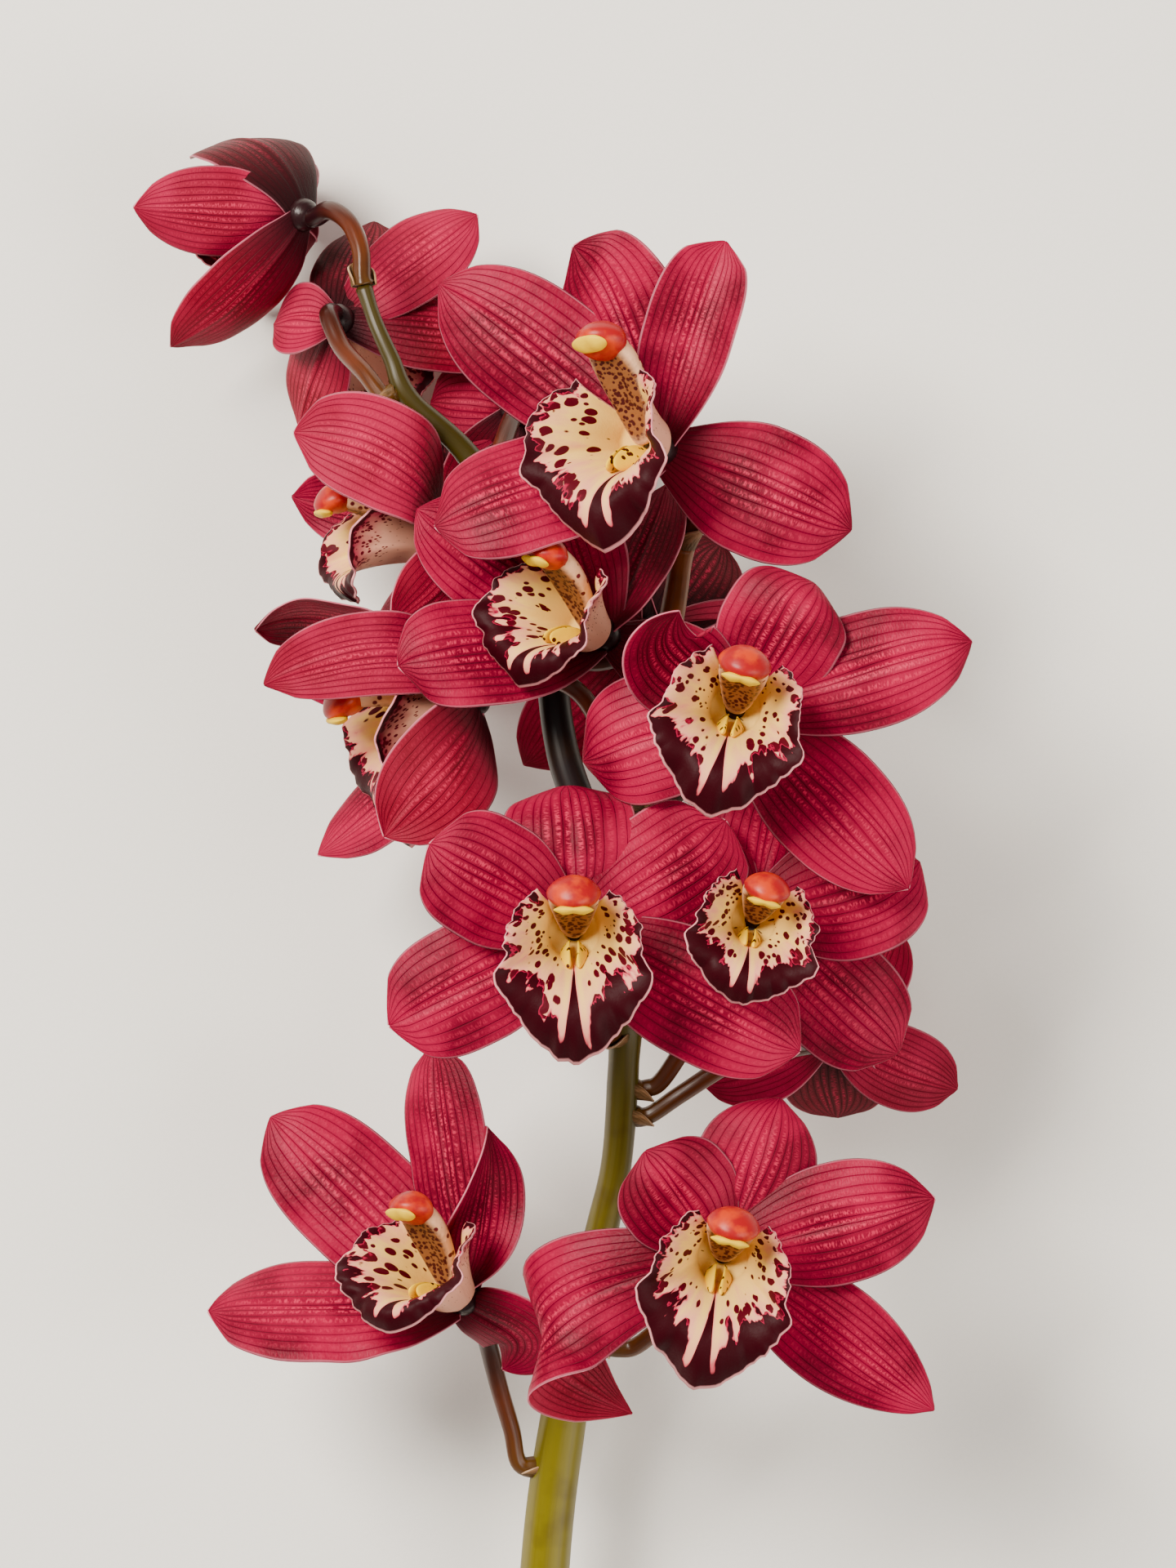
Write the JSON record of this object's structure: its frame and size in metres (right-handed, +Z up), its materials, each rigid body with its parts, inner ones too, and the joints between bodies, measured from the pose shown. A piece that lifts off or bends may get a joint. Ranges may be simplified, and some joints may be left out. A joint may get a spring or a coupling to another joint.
{
  "type": "cut cymbidium orchid stem",
  "caption": "Cut cymbidium orchid stem lying on its back: crimson sepals and petals, spotted cream lips with dark maroon lobes, brown flower stalks and an olive main stem.",
  "frame": {"origin": "bottom centre of the whole stem's bounding box, on the surface it lies on", "axes": "+Z up, towards the faces of the front flowers; +Y along the stem from its cut end to its tip; +X to the right as seen from above with the tip away"},
  "size_m": [0.2104, 0.6188, 0.1335],
  "materials": {
    "tepal": "smooth, satin petal tissue, crimson with darker lengthwise veins and a thin pale margin",
    "lip": "satin, cream with maroon spots and a dark maroon lower lobe",
    "column": "waxy, red above, speckled cream below, yellow under the cap",
    "pedicel": "glossy, orange-brown to dark purple-brown",
    "stem": "smooth, waxy olive green"
  },
  "bodies": {
    "root": {"stem": "stem", "flower_01_pedicel": "pedicel", "flower_01_tepals": "tepal", "flower_01_lip": "lip", "flower_01_column": "column", "flower_02_pedicel": "pedicel", "flower_02_tepals": "tepal", "flower_02_lip": "lip", "flower_02_column": "column", "flower_03_pedicel": "pedicel", "flower_03_tepals": "tepal", "flower_03_lip": "lip", "flower_03_column": "column", "flower_04_pedicel": "pedicel", "flower_04_tepals": "tepal", "flower_04_lip": "lip", "flower_04_column": "column", "flower_05_pedicel": "pedicel", "flower_05_tepals": "tepal", "flower_05_lip": "lip", "flower_05_column": "column", "flower_06_pedicel": "pedicel", "flower_06_tepals": "tepal", "flower_06_lip": "lip", "flower_06_column": "column", "flower_07_pedicel": "pedicel", "flower_07_tepals": "tepal", "flower_07_lip": "lip", "flower_07_column": "column", "flower_08_pedicel": "pedicel", "flower_08_tepals": "tepal", "flower_08_lip": "lip", "flower_08_column": "column", "flower_09_pedicel": "pedicel", "flower_09_tepals": "tepal", "flower_09_lip": "lip", "flower_09_column": "column", "flower_10_pedicel": "pedicel", "flower_10_tepals": "tepal", "flower_10_lip": "lip", "flower_10_column": "column", "flower_11_pedicel": "pedicel", "flower_11_tepals": "tepal", "flower_11_lip": "lip", "flower_11_column": "column", "flower_12_pedicel": "pedicel", "flower_12_tepals": "tepal", "flower_12_lip": "lip", "flower_12_column": "column", "flower_13_pedicel": "pedicel", "flower_13_tepals": "tepal", "flower_13_lip": "lip", "flower_13_column": "column", "flower_14_pedicel": "pedicel", "flower_14_tepals": "tepal", "flower_14_lip": "lip", "flower_14_column": "column"}
  },
  "joints": []
}
